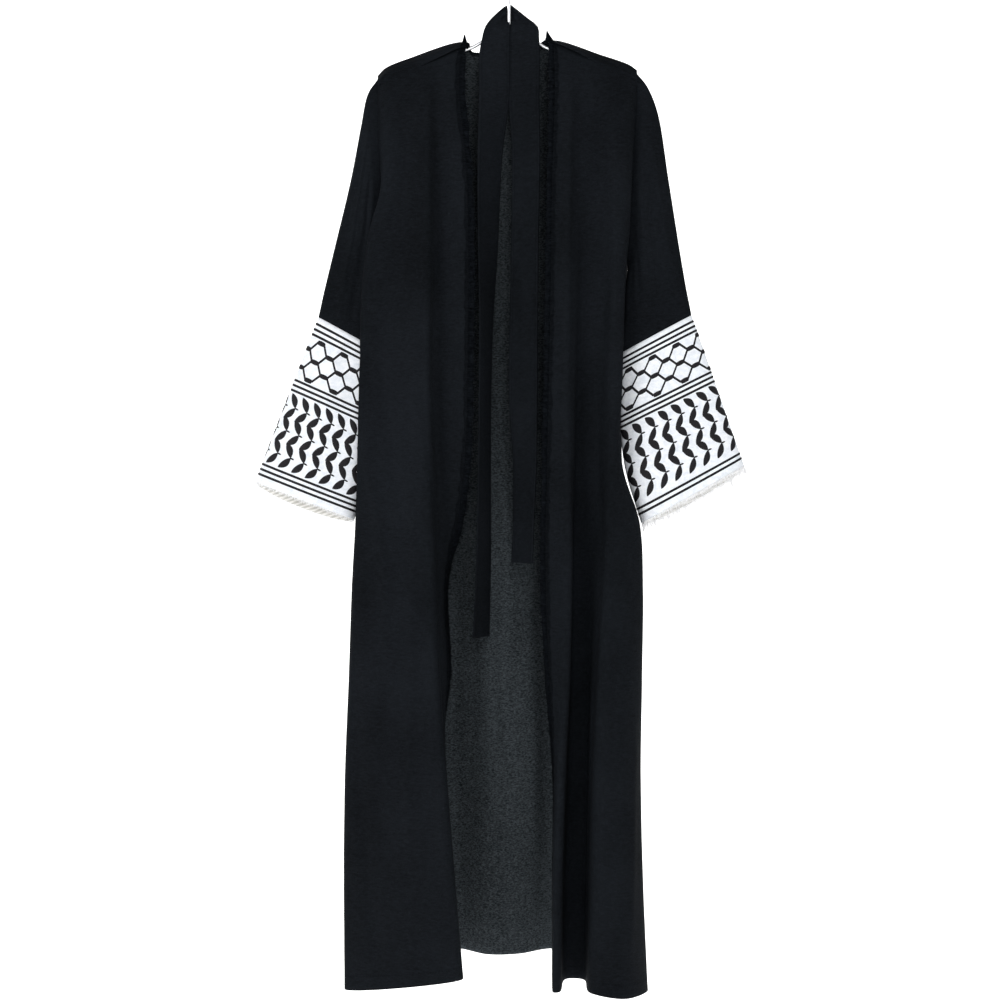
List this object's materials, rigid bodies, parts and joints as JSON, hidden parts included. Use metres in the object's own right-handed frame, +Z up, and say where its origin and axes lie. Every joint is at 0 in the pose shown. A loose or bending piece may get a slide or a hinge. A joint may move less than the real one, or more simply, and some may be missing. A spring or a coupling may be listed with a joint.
{
  "type": "open-front abaya with belt on a hanger",
  "caption": "Long open-front robe with embroidered flared cuffs, fringed front edges and a loose belt, hanging on a plain rod hanger.",
  "frame": {"origin": "seat of the hanger's hook, where the rail touches the inside of its top", "axes": "+Z up, -Y the garment's front, +X to the right as seen from the front"},
  "size_m": [0.7412, 0.1595, 1.5272],
  "materials": {
    "crepe": "matt black crepe with fine crosswise crinkles",
    "trim": "black frayed threads",
    "cuff_cloth": "white cotton with a frayed edge",
    "embroidery": "black satin stitch",
    "hanger_steel": "brushed steel rod"
  },
  "bodies": {
    "root": {"back_panel": "crepe", "front_left": "crepe", "front_right": "crepe", "sleeve_left": "crepe", "sleeve_right": "crepe", "belt": "crepe", "edge_fringe_left": "trim", "edge_fringe_right": "trim", "neck_fringe": "trim", "cuff_left": "cuff_cloth", "cuff_right": "cuff_cloth", "cuff_fringe_left": "cuff_cloth", "cuff_fringe_right": "cuff_cloth", "hanger": "hanger_steel"}
  },
  "joints": []
}
